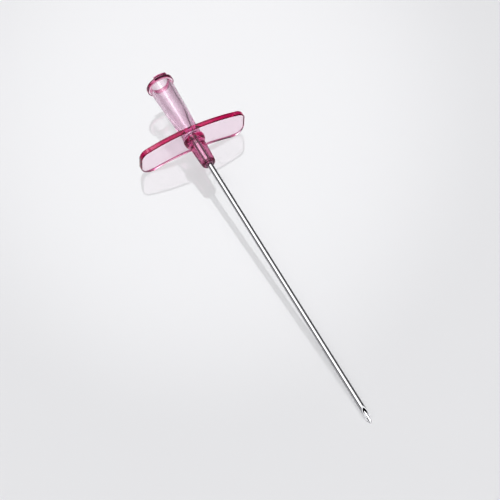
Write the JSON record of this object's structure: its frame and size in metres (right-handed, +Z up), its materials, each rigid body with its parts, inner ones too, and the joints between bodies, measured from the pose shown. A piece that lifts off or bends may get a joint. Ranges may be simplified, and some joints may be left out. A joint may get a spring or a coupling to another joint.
{
  "type": "guidewire introducer needle",
  "caption": "Guidewire introducer needle with a steel cannula, a lancet point and a clear one-piece hub with a tapered socket, lock lugs and an arched wing plate.",
  "frame": {"origin": "on the floor, under the middle of the needle's whole length, with the needle lying at rest", "axes": "+X along the needle towards its point, +Y across the wing plate, +Z up"},
  "size_m": [0.0996, 0.0268, 0.0114],
  "materials": {
    "hub_resin": "clear rose-pink moulded polycarbonate with polished faces",
    "cannula_steel": "drawn stainless tube, finely polished lengthwise",
    "bond_resin": "clear light-cured adhesive"
  },
  "bodies": {
    "root": {"hub": "hub_resin", "cannula": "cannula_steel", "bond": "bond_resin"}
  },
  "joints": []
}
